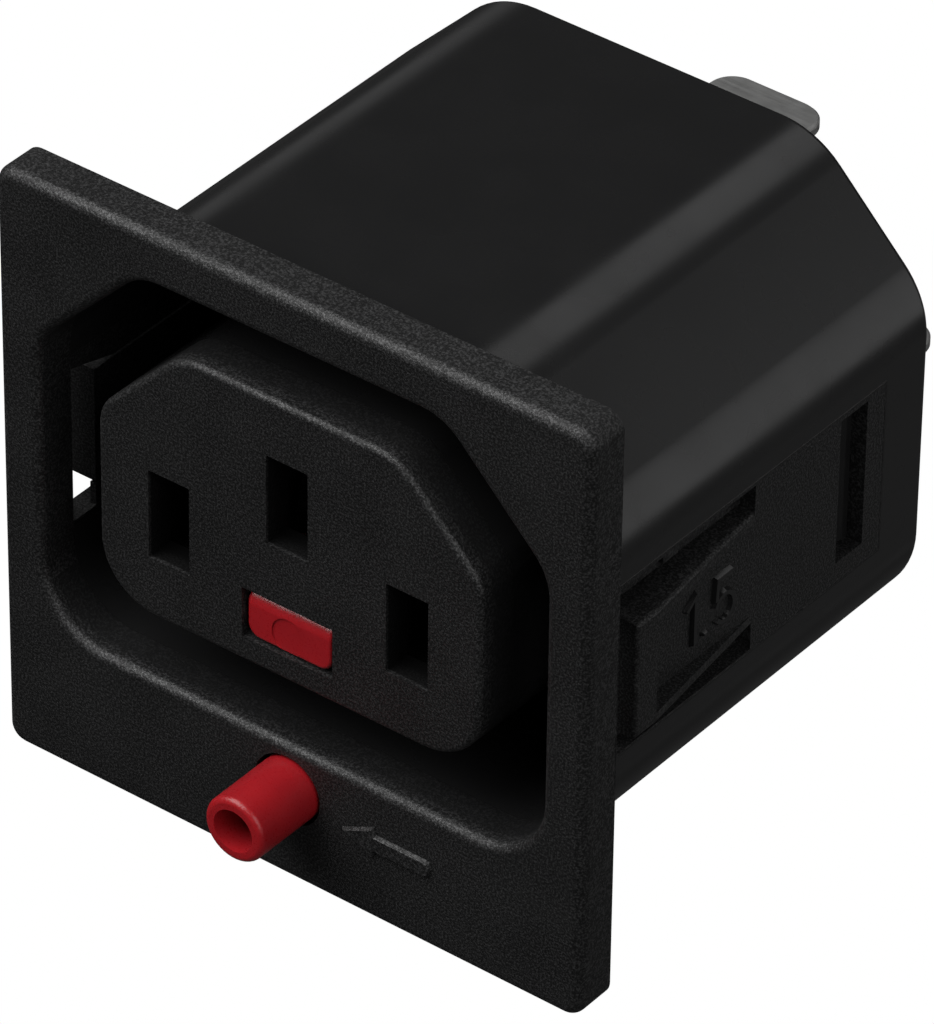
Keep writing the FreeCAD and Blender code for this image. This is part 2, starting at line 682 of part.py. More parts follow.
def build_housing():
    body = new_body("housing")
    housing_shell(body)
    housing_inside(body)
    housing_sides(body)
    housing_edges(body)
    ends = (s.snap_top.number, -s.snap_bottom.number)

    def snap_skin(edge):
        """Outer edges of a snap tongue: its free end and the two sides of its ribs and pad."""
        point = middle(edge)
        return (abs(point.x) > body_half.number + EDGE
                and (lies_at(edge, 1, snap_end.number)
                     or any(lies_at(edge, 2, level) for level in ends)))

    round_edges(body, s.snap_edge, "snap_tongue_edges", snap_skin)


# ---------------------------------------------------------------------------------------------
# Red release slider: button, bar, web and tongue in one moulding
# ---------------------------------------------------------------------------------------------

def build_release_slider():
    body = new_body("release_slider")
    half = s.slider_half
    tip = face - s.button_proud
    pad_back(body, bar_front, "bar", web_back - bar_front, rectangle,
             -half, half, bar_bottom, bar_top)
    pad_back(body, web_front, "web", s.web_thick, rectangle,
             -half, half, bar_bottom, tongue_top)
    pad_back(body, tongue_front, "tongue", web_back - tongue_front, rectangle,
             -half, half, tongue_bottom, tongue_top)

    def lower_corner(edge):
        return (runs_along(edge, 1) and middle(edge).y < web_front.number
                and abs(middle(edge).z - tongue_bottom.number) < EDGE)

    round_edges(body, s.tongue_round, "tongue_corners", lower_corner)
    tail_front = plate_y - plate_length * math.sin(tilt)
    pusher_back = tail_front - s.pusher_gap
    pad_up(body, tongue_top - s.slider_gap, "pusher", s.pusher_height + s.slider_gap, rectangle,
           -half, half, pusher_back - s.pusher_length, pusher_back)
    round_edges(body, s.tongue_edge, "tongue_front_edge",
                lambda edge: lies_at(edge, 1, tongue_front.number)
                and runs_along(edge, 0) and middle(edge).z > -s.mark_drop.number)
    round_edges(body, s.tongue_rim, "tongue_rim",
                lambda edge: middle(edge).y < tongue_front.number + s.tongue_edge.number
                and abs(middle(edge).z) < s.window_bottom.number
                and not (runs_along(edge, 0) and middle(edge).z > -s.mark_drop.number))
    cut_back(body, tongue_front, "ejector_mark", s.mark_depth, circle,
             -s.mark_shift, -s.mark_drop, s.mark_radius)
    pad_back(body, button_end, "neck", bar_front - button_end, rectangle,
             -s.neck_half_width, s.neck_half_width, bar_bottom, bar_top)
    pad_back(body, tip, "button", button_end - tip, circle,
             0, -button_drop, s.button_radius)
    cut_back(body, tip, "button_hole", s.button_hole_depth, circle,
             0, -button_drop, s.button_hole)
    round_edges(body, s.button_edge, "button_rim",
                lambda edge: lies_at(edge, 1, tip.number)
                and edge.Curve.Radius > s.button_hole.number + EDGE)


# ---------------------------------------------------------------------------------------------
# Lock plate: tilted about its top edge, its hole bites the earth pin
# ---------------------------------------------------------------------------------------------

def build_lock_plate():
    body = new_body("lock_plate")
    # drawn upright with the hinge line at the origin, then tilted into place
    pad_back(body, 0, "plate", s.plate_thick, rectangle,
             -plate_half, plate_half, -plate_length, 0)
    hole = s.earth_offset - plate_z
    cut_back(body, 0, "pin_hole", s.plate_thick, rectangle,
             -s.plate_hole_half_width, s.plate_hole_half_width,
             hole - s.plate_hole_half_height, hole + s.plate_hole_half_height)
    turn = FreeCAD.Rotation(FreeCAD.Vector(1, 0, 0), -s.plate_tilt.number)
    body.Placement = FreeCAD.Placement(FreeCAD.Vector(0, 0, 0), turn)
    body.setExpression("Placement.Base.y", plate_y.formula)
    body.setExpression("Placement.Base.z", plate_z.formula)


# ---------------------------------------------------------------------------------------------
# Contacts: two jaws on a web, with a blade terminal, folded from one sheet
# ---------------------------------------------------------------------------------------------

def build_contact(name, across, mouth, web_low, jaw_low):
    """One contact. The web may lie below the jaws or above them."""
    body = new_body(name)
    thick = s.sheet_thick
    web_start = mouth + s.jaw_length - s.jaw_web
    shoulder_front = inner_floor + s.seat_gap
    shoulder_back = cover_front - s.seat_gap

    flat = [
        (across - s.stem_half, web_start),
        (across + s.stem_half, web_start),
        (across + s.stem_half, shoulder_front),
        (across + s.shoulder_half, shoulder_front),
        (across + s.shoulder_half, shoulder_back),
        (across + s.tab_half, shoulder_back),
        (across + s.tab_half, tab_end),
        (across - s.tab_half, tab_end),
        (across - s.tab_half, shoulder_back),
        (across - s.shoulder_half, shoulder_back),
        (across - s.shoulder_half, shoulder_front),
        (across - s.stem_half, shoulder_front),
    ]

    def blade(sketch):
        polygon(sketch, flat)
        circle(sketch, across, tab_end - s.tab_hole_back, s.tab_hole)

    pad_up(body, web_low, "blade", thick, blade)
    end = tab_end.number
    round_edges(body, s.tab_corner, "blade_corners",
                lambda edge: runs_along(edge, 2) and abs(middle(edge).y - end) < EDGE)
    faces = (web_low.number, (web_low + thick).number)

    def tab_outline(edge):
        """Edges round the terminal, on both faces of the sheet, but not round its hole."""
        return (any(lies_at(edge, 2, level) for level in faces)
                and middle(edge).y > cover_back.number
                and not (isinstance(edge.Curve, Part.Circle)
                         and abs(edge.Curve.Center.x - across.number) < EDGE))

    round_edges(body, s.tab_bevel, "blade_bevel", tab_outline, kind="Chamfer")
    throat = mouth + s.jaw_taper
    root = mouth + s.jaw_length
    for side, label in ((-1, "left"), (1, "right")):
        inner = [
            (across + side * (s.jaw_throat + s.jaw_flare), mouth),
            (across + side * s.jaw_throat, throat),
            (across + side * s.jaw_root, root),
        ]
        outer = [(x + side * thick, y) for x, y in reversed(inner)]
        pad_up(body, jaw_low, label + "_jaw", s.jaw_height + s.jaw_lap,
               polygon, inner + outer)


def build_contacts():
    mouth = face_back + s.mouth_gap
    bottom_web = line_web_top - s.sheet_thick
    jaw_low = line_web_top - s.jaw_lap
    build_contact("line_contact", -pin_x, mouth, bottom_web, jaw_low)
    build_contact("neutral_contact", pin_x, mouth, bottom_web, jaw_low)
    behind_plate = plate_y + s.plate_thick + s.earth_mouth_gap
    earth_low = earth_web_bottom - s.jaw_height
    build_contact("earth_contact", as_size(0), behind_plate, earth_web_bottom, earth_low)


# ---------------------------------------------------------------------------------------------
# Rear cover: plate, snap arms, foot in the tunnel and the prong behind the lock spring
# ---------------------------------------------------------------------------------------------

def build_rear_cover():
    body = new_body("rear_cover")
    gap = s.cover_clearance
    plate = outline(recess_half - gap, recess_top - gap, recess_bottom - gap, s.recess_leg)
    pad_back(body, cover_front, "plate", s.cover_plate, rounded,
             plate, [radius - gap for radius in collar_radii])
    foot_half = window_half - gap
    pad_back(body, foot_front, "foot", s.foot_thick, rectangle,
             -foot_half, foot_half, bar_bottom, -(recess_bottom - s.foot_gap))
    half = s.prong_half
    pad_back(body, s.prong_front, "prong", cover_back - s.prong_front, rectangle,
             -half, half, -half, half)

    def slots(sketch):
        for across, low in ((-pin_x, line_web_top - s.sheet_thick),
                            (pin_x, line_web_top - s.sheet_thick),
                            (as_size(0), earth_web_bottom)):
            wide = s.tab_half + s.cover_slot_gap
            rectangle(sketch, across - wide, across + wide,
                      low - s.cover_slot_gap, low + s.sheet_thick + s.cover_slot_gap)

    cut_back(body, cover_front, "blade_slots", s.cover_plate, slots)
    lug_front = side_slot_front + s.lug_gap
    lug_back = side_slot_front + s.side_slot_length - s.lug_gap
    for side, label in ((-1, "left"), (1, "right")):
        outer = side * (recess_half - gap)
        inner = side * (recess_half - gap - s.arm_thick)
        tip = side * (recess_half + s.lug_proud)
        arm = [(inner, cover_back), (outer, cover_back), (outer, lug_back), (tip, lug_back),
               (tip, lug_back - s.lug_slope), (outer, lug_front), (inner, lug_front)]
        low = -(s.side_slot_bottom - s.lug_gap)
        pad_up(body, low, label + "_arm", s.side_slot_top - s.lug_gap - low, polygon, arm)


# ---------------------------------------------------------------------------------------------
# Springs: a wire wound as a helix
# ---------------------------------------------------------------------------------------------

# corners of a four-sided wire of radius 1, which is round enough for a spring this fine
WIRE = [(1.0, 0.0), (0.0, 1.0), (-1.0, 0.0), (0.0, -1.0)]


def build_spring(name, front, back, height, coil, wire, turns):
    """Compression spring along Y between two levels, its ends clear by a small gap."""
    body = new_body(name)
    low = front + wire + s.spring_gap
    length = back - wire - s.spring_gap - low
    sketch = new_sketch(body, "top", height, name + "_wire")
    polygon(sketch, [(coil + wire * across, low + wire * up) for across, up in WIRE])
    document.recompute()
    winding = body.newObject("PartDesign::AdditiveHelix", name + "_winding")
    winding.Profile = sketch
    winding.ReferenceAxis = (sketch, ["V_Axis"])
    winding.Mode = "height-turns-angle"
    winding.setExpression("Height", length.formula)
    winding.setExpression("Turns", turns.formula)
    winding.Angle = 0
    winding.LeftHanded = False
    winding.Reversed = False
    document.recompute()


def build_springs():
    # back face of the tilted lock plate where the spring presses, level with the pins
    back_face = plate_y - plate_z * math.tan(tilt) + s.plate_thick / math.cos(tilt)
    build_spring("lock_spring", back_face + s.lock_coil * math.tan(tilt), s.prong_front,
                 as_size(0), s.lock_coil, s.lock_wire, s.lock_turns)
    build_spring("return_spring", web_back, foot_front, -button_drop,
                 s.return_coil, s.return_wire, s.return_turns)


# ---------------------------------------------------------------------------------------------
# Build, check and write
# ---------------------------------------------------------------------------------------------

build_housing()
build_release_slider()
build_lock_plate()
build_contacts()
build_rear_cover()
build_springs()
document.recompute()

for item in document.Objects:
    if "Invalid" in item.State or "Error" in item.State:
        raise RuntimeError(f"{item.Label} failed: {item.State}")

os.makedirs("parts", exist_ok=True)
for name, item in parts.items():
    shape = item.Shape
    if shape.isNull() or not shape.isValid() or not shape.Solids:
        raise RuntimeError(f"{name} has no valid solid")
    box = shape.BoundBox
    print(f"{name}: {len(shape.Solids)} solid, {shape.Volume:.2f} mm3, "
          f"x {box.XMin:.2f} to {box.XMax:.2f}, y {box.YMin:.2f} to {box.YMax:.2f}, "
          f"z {box.ZMin:.2f} to {box.ZMax:.2f}")
    shape.exportStep(os.path.join("parts", name + ".step"))
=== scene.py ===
import math

import bmesh
import bpy
import numpy as np
from mathutils import Matrix, Vector


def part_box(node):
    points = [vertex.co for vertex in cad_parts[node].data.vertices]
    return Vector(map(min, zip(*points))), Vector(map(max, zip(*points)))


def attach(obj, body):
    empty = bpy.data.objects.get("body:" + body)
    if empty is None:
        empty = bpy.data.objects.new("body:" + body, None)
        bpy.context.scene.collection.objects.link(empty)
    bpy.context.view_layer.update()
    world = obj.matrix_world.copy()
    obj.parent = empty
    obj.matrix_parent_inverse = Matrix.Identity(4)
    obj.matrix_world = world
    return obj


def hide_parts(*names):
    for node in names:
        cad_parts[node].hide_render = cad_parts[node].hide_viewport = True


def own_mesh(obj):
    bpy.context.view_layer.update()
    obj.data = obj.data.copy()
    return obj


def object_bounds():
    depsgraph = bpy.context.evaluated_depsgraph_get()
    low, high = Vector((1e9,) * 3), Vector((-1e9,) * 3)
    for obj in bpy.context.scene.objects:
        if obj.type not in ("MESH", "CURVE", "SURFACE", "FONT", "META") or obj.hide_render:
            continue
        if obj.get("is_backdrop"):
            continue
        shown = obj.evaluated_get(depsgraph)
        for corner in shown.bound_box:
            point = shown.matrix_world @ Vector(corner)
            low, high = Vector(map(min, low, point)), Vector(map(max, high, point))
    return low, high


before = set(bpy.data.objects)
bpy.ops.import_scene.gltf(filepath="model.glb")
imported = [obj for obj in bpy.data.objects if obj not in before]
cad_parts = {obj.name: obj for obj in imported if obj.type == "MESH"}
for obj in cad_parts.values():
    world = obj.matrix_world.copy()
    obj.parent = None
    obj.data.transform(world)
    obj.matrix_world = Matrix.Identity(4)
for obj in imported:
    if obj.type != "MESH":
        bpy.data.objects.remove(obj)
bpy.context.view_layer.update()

# %% [markdown]
# # The finishes of a locking panel outlet
#
# The outlet is one black moulding that snaps into a panel. A plug goes over its nose, and a
# tilting plate behind the earth slot then holds the plug's earth pin until somebody presses the
# red button. Everything is in metres and in the row frame: the face looks along $-Y$, the panel's
# front is the plane $y = 0$, and $+Z$ is up.
#
# The shapes come from the CAD nodes. This lesson gives each of them a skin that takes the light
# well, adds the small raised marks that a mould leaves, and sets the lights and the camera.

# %% The nodes' sizes
MM = 0.001
SIZES = {name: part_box(name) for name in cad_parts}
FACE_Y = SIZES["housing"][0].y          # front of the bezel
for name, (low, high) in SIZES.items():
    span = [round((b - a) / MM, 2) for a, b in zip(low, high)]
    print(f"{name}: {span} mm")

# %% [markdown]
# ## The camera
#
# A long lens far away, to the right of the outlet and above it, shows the face, the top and the
# right side with almost parallel edges. A constraint could aim it, but that needs a second object
# to aim at. Here its three directions are unit vectors, and the rotation matrix has them as its
# columns: right, up, and back towards the viewer.

# %% Lens and place of the camera
CAMERA_PLACE = Vector((0.201252, -0.251218, 0.238142))
CAMERA_RIGHT = Vector((0.788473, 0.614971, 0.010989))
CAMERA_BACK = Vector((0.491163, -0.640288, 0.590585))
CAMERA_LENS = 306.275                   # on a sensor 36 wide, both in millimetres
CLIP = (0.01, 10.0)

camera_data = bpy.data.cameras.new("camera")
camera_data.lens = CAMERA_LENS
camera_data.sensor_width = 36.0
camera_data.clip_start, camera_data.clip_end = CLIP
camera = bpy.data.objects.new("camera", camera_data)
bpy.context.scene.collection.objects.link(camera)
up = CAMERA_BACK.cross(CAMERA_RIGHT)
camera.matrix_world = Matrix.Translation(CAMERA_PLACE) @ Matrix(
    (CAMERA_RIGHT, up, CAMERA_BACK)).transposed().to_4x4()
bpy.context.scene.camera = camera
bpy.context.scene.view_settings.view_transform = "Standard"
print("camera distance", round(CAMERA_PLACE.length / MM), "mm")

# %% [markdown]
# ## Writing materials as short programs
#
# A finish could be wired by hand in the shader editor. Written as code it can be read, measured
# and changed, and `Nodes` keeps it short: each method adds a node and gives back its output, and
# any input may be a number or another node's output. A pattern then reads like a formula.
#
# | method | what it gives |
# |---|---|
# | `place()`, `axes()` | the point's place on the object, whole or as x, y and z, in metres |
# | `noise(scale, detail)` | smooth noise from 0 to 1, `scale` waves per metre |
# | `math(kind, a, b, c)` | one sum, product or comparison |
# | `ramp(x, low, high)` | 0 below `low`, 1 above `high`, smooth between |
# | `inside(x, low, high)` | 1 between two levels |
# | `mix(t, a, b)` | `a` where `t` is 0, `b` where it is 1 |
# | `both(a, b)` | 1 where both masks are 1 |
# | `bump(height, distance)` | normals tilted as a relief of that height would tilt them |

# %% The chain of nodes
class Nodes:
    """A material's nodes, written as a chain of calls."""

    def __init__(self, name, color, roughness, specular=0.5, metallic=0.0):
        self.material = bpy.data.materials.new(name)
        self.material.use_nodes = True
        self.tree = self.material.node_tree
        self.shader = self.tree.nodes["Principled BSDF"]
        self.shader.inputs["Base Color"].default_value = (*color, 1.0)
        self.shader.inputs["Roughness"].default_value = roughness
        self.shader.inputs["Metallic"].default_value = metallic
        self.shader.inputs["Specular IOR Level"].default_value = specular

    def add(self, kind, inputs=(), output=0, **settings):
        """New node's output. An input is linked where it is an output, and set where it isn't."""
        node = self.tree.nodes.new(kind)
        for key, value in settings.items():
            setattr(node, key, value)
        for key, value in dict(inputs).items():
            if isinstance(value, bpy.types.NodeSocket):
                self.tree.links.new(value, node.inputs[key])
            else:
                node.inputs[key].default_value = value
        return node.outputs[output]

    def place(self):
        return self.add("ShaderNodeTexCoord", output="Object")

    def axes(self):
        """The place's x, y and z as three outputs, in metres."""
        return tuple(self.add("ShaderNodeSeparateXYZ", {0: self.place()}).node.outputs)

    def noise(self, scale, detail=2.0, stretch=(1, 1, 1)):
        vector = self.add("ShaderNodeMapping", {"Vector": self.place(), "Scale": stretch})
        return self.add("ShaderNodeTexNoise",
                        {"Vector": vector, "Scale": scale, "Detail": detail})

    def math(self, kind, a, b=0.0, c=0.0):
        return self.add("ShaderNodeMath", {0: a, 1: b, 2: c}, operation=kind)

    def ramp(self, value, low, high, to_low=0.0, to_high=1.0):
        return self.add("ShaderNodeMapRange",
                        {"Value": value, "From Min": low, "From Max": high,
                         "To Min": to_low, "To Max": to_high},
                        interpolation_type="SMOOTHSTEP")

    def mix(self, factor, a, b):
        return self.add("ShaderNodeMix", {"Factor": factor, "A": a, "B": b})

    def mix_color(self, factor, a, b):
        """A colour mix. Inputs 6 and 7 and output 2 of the node are its colours."""
        return self.add("ShaderNodeMix", {"Factor": factor, 6: (*a, 1.0), 7: (*b, 1.0)},
                        output=2, data_type="RGBA")

    def shade(self, value, dark, light):
        """Grey of one level where the value is 0 and of another where it is 1, a little blue."""
        return self.mix_color(value, (dark, dark, dark * 1.02), (light, light, light * 1.02))

    def both(self, *masks):
        product = masks[0]
        for mask in masks[1:]:
            product = self.math("MULTIPLY", product, mask)
        return product

    def inside(self, value, low, high, soft=0.02 * MM):
        """1 where a value lies between two levels, with soft edges."""
        return self.both(self.ramp(value, low - soft, low + soft),
                         self.ramp(value, high - soft, high + soft, 1.0, 0.0))

    def bump(self, height, distance, strength=1.0, normal=None):
        inputs = {"Height": height, "Distance": distance, "Strength": strength}
        if normal is not None:
            inputs["Normal"] = normal
        return self.add("ShaderNodeBump", inputs)

    def use(self, **sockets):
        """Link outputs to the shader's inputs, and give back the finished material."""
        for key, value in sockets.items():
            self.tree.links.new(value, self.shader.inputs[key.replace("_", " ")])
        return self.material


# %% [markdown]
# ## Where the mould was grained and where it was polished
#
# The mould was finished in two ways. The bezel, the nose's face and the slides that form the snap
# tongues were spark-eroded, which leaves a fine grain. The shroud was polished, so it is smooth
# and takes long soft reflections. Two materials on one mesh could show that, but their border
# would have to follow its triangles. A mask made from a point's place puts the border where the
# mould's parts met: 1 in front of the panel plane, and 1 within the slide's rectangle on each
# side. On the recess's walls it falls to less than half, because the core slides along them as
# it leaves. A second mask finds the three slots, where shade is painted: a darker colour and less
# gloss on their walls and floors.

# %% Masks for the grain and for the painted shade in the slots
SLIDE_Y = (0.0, 22.1 * MM)
SLIDE_Z = (-4.95 * MM, 4.75 * MM)
SLIDE_X = SIZES["housing"][1].x - 2.55 * MM     # 1.3 mm inside the slides' surface
RECESS = (14.6 * MM, 11.8 * MM)                 # half its width and half its height
RECESS_GRAIN = 0.45
PIN_X, EARTH_Z = 7.0 * MM, 4.0 * MM             # the outer slots' and the earth slot's middles
SLOT = (1.5 * MM, 2.6 * MM)                     # half a slot's width and height, and a margin


def slide_frame(n, grow):
    """1 within a slide's rectangle, which may be grown by a margin."""
    x, y, z = n.axes()
    skin = n.ramp(n.math("ABSOLUTE", x), SLIDE_X, SLIDE_X + 0.05 * MM)
    return n.both(skin, n.inside(y, SLIDE_Y[0] - grow, SLIDE_Y[1] + grow),
                  n.inside(z, SLIDE_Z[0] - grow, SLIDE_Z[1] + grow))


def grain_mask(n):
    """1 on the bezel, the nose's face and the slides, RECESS_GRAIN on the recess's walls."""
    x, y, z = n.axes()
    front = n.ramp(y, 0.02 * MM, 0.05 * MM, 1.0, 0.0)
    opening = n.both(n.inside(x, -RECESS[0], RECESS[0]), n.inside(z, -RECESS[1], RECESS[1]))
    walls = n.both(opening, n.ramp(y, FACE_Y + 0.5 * MM, FACE_Y + 1.3 * MM))
    front = n.both(front, n.ramp(walls, 0.0, 1.0, 1.0, RECESS_GRAIN))
    return n.math("MAXIMUM", front, slide_frame(n, 0.0))


def slot_shade_mask(n):
    """1 where shade is painted in the three slots behind the face: the outer two by |x|, and the
    earth slot.
    """
    x, y, z = n.axes()
    deep = n.ramp(y, FACE_Y + 0.08 * MM, FACE_Y + 0.25 * MM)
    outer = n.both(n.inside(n.math("ABSOLUTE", x), PIN_X - SLOT[0], PIN_X + SLOT[0]),
                   n.inside(z, -SLOT[1], SLOT[1]))
    earth = n.both(n.inside(x, -SLOT[0], SLOT[0]),
                   n.inside(z, EARTH_Z - SLOT[1], EARTH_Z + SLOT[1]))
    return n.both(deep, n.math("MAXIMUM", outer, earth))


slide_size = [round((high - low) / MM, 2) for low, high in (SLIDE_Y, SLIDE_Z)]
print("each slide:", slide_size, "mm along y and z")

# %% [markdown]
# ## Black moulded nylon
#
# Cutting a grain this fine into the mesh would take millions of faces, so it stays in the
# material, as noise of two widths. It tilts the normals as a relief of 0.024 mm would, and its
# peaks are greyer and glossier than its pits:
#
# $$ h = n_{0.12} + 0.6\, n_{0.07} $$
#
# The indices are the widths in millimetres. The polished shroud has one shade throughout and a
# very shallow waviness. A thin line round each slide is where two parts of the mould met: it is
# the slide's rectangle grown by a margin, less the rectangle shrunk by it. The rear cover is the
# same nylon from a plainer mould, so it is duller.

# %% Black nylon for the housing and the cover
COARSE, FINE = 8500.0, 14500.0          # grain, in waves per metre
GRAIN_DEPTH = 0.024 * MM
GRAIN_RANGE = (0.66, 1.12)              # from pits to peaks, of a height that runs from 0 to 1.6
SHADES = (0.0040, 0.0230)               # how much light the pits and the peaks give back
POLISHED = 0.33                         # where the shroud's shade lies between those
SPREAD = (0.3, 0.7)                     # most of a noise's values lie between these
WITNESS = 0.045 * MM                    # half the width of the line round a slide
WITNESS_DEPTH = 0.05 * MM


def black_moulding():
    n = Nodes("black_moulding", (0.0068, 0.0068, 0.0069), 0.3, specular=0.42)
    grain = grain_mask(n)
    # painted shade: in the slots the colour falls to the pits' darkest shade and the gloss to 0.3
    # of its own
    outside_slot_shade = n.math("SUBTRACT", 1.0, slot_shade_mask(n))
    height = n.math("MULTIPLY_ADD", n.noise(FINE, 1.0), 0.6, n.noise(COARSE, 1.0))
    peaks = n.ramp(height, *GRAIN_RANGE)
    shade = n.shade(n.both(n.mix(grain, POLISHED, peaks), outside_slot_shade), *SHADES)
    gloss = n.mix(grain, 0.42, n.mix(peaks, 0.30, 0.80))
    patches = n.noise(260.0, 3.0)
    smooth = n.ramp(patches, *SPREAD, 0.24, 0.29)
    rough = n.ramp(patches, *SPREAD, 0.50, 0.60)
    grained = n.bump(n.both(height, grain), GRAIN_DEPTH)
    wavy = n.bump(n.noise(420.0, 2.0), 0.004 * MM, 0.3, grained)
    line = n.math("SUBTRACT", slide_frame(n, WITNESS), slide_frame(n, -WITNESS))
    return n.use(Base_Color=shade, Roughness=n.mix(grain, smooth, rough),
                 Specular_IOR_Level=n.both(gloss, n.mix(outside_slot_shade, 0.3, 1.0)),
                 Normal=n.bump(line, WITNESS_DEPTH, 1.0, wavy))


def cover_moulding():
    n = Nodes("cover_moulding", (0.0070, 0.0070, 0.0071), 0.45, specular=0.42)
    height = n.noise(7000.0, 3.0)
    shade = n.shade(n.noise(500.0, 2.0), 0.0055, 0.0090)
    return n.use(Base_Color=shade, Roughness=n.ramp(height, *SPREAD, 0.42, 0.52),
                 Normal=n.bump(height, 0.02 * MM, 0.6))


print("grain:", [round(1 / waves / MM, 2) for waves in (COARSE, FINE)], "mm across")

# %% [markdown]
# ## Red moulding
#
# The button, its slider and the tongue in the window are one red moulding. The plastic scatters a
# little light under its skin, red the farthest, so its thin rim glows. A flat red could be given
# a lighter rim by hand, but scattering follows the shape by itself. The button's end has an
# orange-peel skin, and the rest is smoother.

# %% Red nylon
SCATTER = 0.15
SCATTER_REACH = (0.60 * MM, 0.12 * MM, 0.10 * MM)   # of red, green and blue light
PEEL_Y = (FACE_Y - 3.6 * MM, FACE_Y - 2.9 * MM)     # where the orange peel fades


def red_moulding():
    n = Nodes("red_moulding", (0.32, 0.0095, 0.0140), 0.34, specular=0.42)
    n.shader.subsurface_method = "RANDOM_WALK"
    n.shader.inputs["Subsurface Weight"].default_value = SCATTER
    n.shader.inputs["Subsurface Radius"].default_value = SCATTER_REACH
    n.shader.inputs["Subsurface Scale"].default_value = 1.0
    tone = n.mix_color(n.noise(700.0, 3.0), (0.28, 0.0085, 0.0130), (0.36, 0.0110, 0.0155))
    peel = n.noise(9000.0, 2.0)
    end = n.ramp(n.axes()[1], *PEEL_Y, 1.0, 0.0)
    depth = n.both(peel, n.ramp(end, 0.0, 1.0, 0.35, 1.0))
    return n.use(Base_Color=tone, Roughness=n.ramp(peel, *SPREAD, 0.26, 0.38),
                 Normal=n.bump(depth, 0.022 * MM, 0.8))


# %% [markdown]
# ## Tinned brass and spring steel
#
# The contacts are brass strip with a coat of tin, which is matt and lies in faint cloudy patches.
# Rolling left fine lines across the blades. Noise that is stretched along $X$ gives such lines
# without an image to wrap round the bends. The steel of the plate and the springs was rolled
# too, and is a little brighter and shinier.

# %% Tin and steel
ACROSS = (0.04, 1.0, 1.0)               # noise stretched 25 times along x


def tinned_brass():
    n = Nodes("tinned_brass", (0.42, 0.42, 0.415), 0.5, metallic=1.0)
    lines = n.noise(7000.0, 3.0, ACROSS)
    cloud = n.noise(800.0, 4.0)
    tone = n.mix_color(cloud, (0.33, 0.33, 0.325), (0.47, 0.47, 0.465))
    rough = n.mix(cloud, n.ramp(lines, *SPREAD, 0.46, 0.52),
                  n.ramp(lines, *SPREAD, 0.54, 0.62))
    return n.use(Base_Color=tone, Roughness=rough, Normal=n.bump(lines, 0.003 * MM, 0.5))


def spring_steel():
    n = Nodes("spring_steel", (0.46, 0.46, 0.47), 0.28, metallic=1.0)
    lines = n.noise(12000.0, 3.0, ACROSS)
    tone = n.mix_color(lines, (0.40, 0.40, 0.41), (0.52, 0.52, 0.53))
    return n.use(Base_Color=tone, Roughness=n.ramp(lines, *SPREAD, 0.22, 0.36),
                 Normal=n.bump(lines, 0.003 * MM, 0.5))


# %% [markdown]
# ## Which node wears what
#
# Each node could be dressed by lines of its own. A table shows them all at once, and the raised
# marks take their finish from it too. It gives the material, the body that the node rides on and
# the slot's name in the record. Nodes of one metal share one material.

# %% The finish of each node
STEEL = spring_steel()
TIN = tinned_brass()
FINISHES = {
    "housing": (black_moulding(), "shell", "black_moulding"),
    "rear_cover": (cover_moulding(), "shell", "black_moulding"),
    "release_slider": (red_moulding(), "slider", "red_moulding"),
    "lock_plate": (STEEL, "lock", "spring_steel"),
    "lock_spring": (STEEL, "shell", "spring_steel"),
    "return_spring": (STEEL, "shell", "spring_steel"),
    "line_contact": (TIN, "shell", "tinned_brass"),
    "neutral_contact": (TIN, "shell", "tinned_brass"),
    "earth_contact": (TIN, "shell", "tinned_brass"),
}
print("materials:", sorted({finish[0].name for finish in FINISHES.values()}))

# %% [markdown]
# ## Normals that keep flats flat
#
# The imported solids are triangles. To shade a fillet smooth and the flat beside it flat, each
# triangle's corner gets its own normal, in three steps.
#
# 1. An edge is smooth when an arc through its two triangles would stray from them by no more than
#    0.012 mm, a little over the 0.011 mm to which the curves were cut. For a facet of width $w$
#    and a bend of $\theta$ that is $w\,\theta / 8 \le 0.012$ mm.
# 2. Around each vertex, triangles joined by smooth edges form a group.
# 3. The corner's normal is the group's sum of normals. Each counts by its corner's angle $\alpha$
#    and by the area $A$ of the whole flat that the triangle is part of, so that a wide flat wins
#    over the narrow strips of the fillet next to it:
#
# $$ \hat n \propto \sum_i \alpha_i A_i\, \hat n_i $$
#
# Blender's own shading by angle has one limit for every edge. It would round the shallow corners
# of large flats, or leave facets on the small fillets. First, the measures of the triangles.

# %% What the triangles measure
STRAY = 0.012 * MM
TINY = 1e-20                            # keeps a division away from 0


def read_triangles(mesh):
    """A triangle mesh as two arrays: vertex numbers (faces, 3) and points (vertices, 3)."""
    corners = np.empty(len(mesh.polygons) * 3, dtype=np.int64)
    mesh.loops.foreach_get("vertex_index", corners)
    points = np.empty(len(mesh.vertices) * 3)
    mesh.vertices.foreach_get("co", points)
    return corners.reshape(-1, 3), points.reshape(-1, 3)


def face_normals(triangle):
    """Unit normals and doubled areas: the cross product of two sides is both at once."""
    cross = np.cross(triangle[:, 1] - triangle[:, 0], triangle[:, 2] - triangle[:, 0])
    size = np.linalg.norm(cross, axis=1)
    return cross / np.maximum(size, TINY)[:, None], size


def flat_areas(triangle, normal, size):
    """Doubled area of the flat that each triangle is part of. Triangles are part of one flat
    where their rounded normals and rounded distances from the origin agree."""
    offset = (normal * triangle[:, 0]).sum(1)
    plane = np.concatenate([np.round(normal, 3), np.round(offset / (2 * STRAY))[:, None]], 1)
    _, flat = np.unique(plane, axis=0, return_inverse=True)
    flat = flat.ravel()
    return np.bincount(flat, weights=size)[flat]


def corner_angles(triangle):
    """Angle at each corner: the arc cosine of the dot product of its two unit sides."""
    before = np.roll(triangle, 1, axis=1) - triangle
    after = np.roll(triangle, -1, axis=1) - triangle
    cosine = (before * after).sum(2) / np.maximum(
        np.linalg.norm(before, axis=2) * np.linalg.norm(after, axis=2), TINY)
    return np.arccos(np.clip(cosine, -1.0, 1.0))


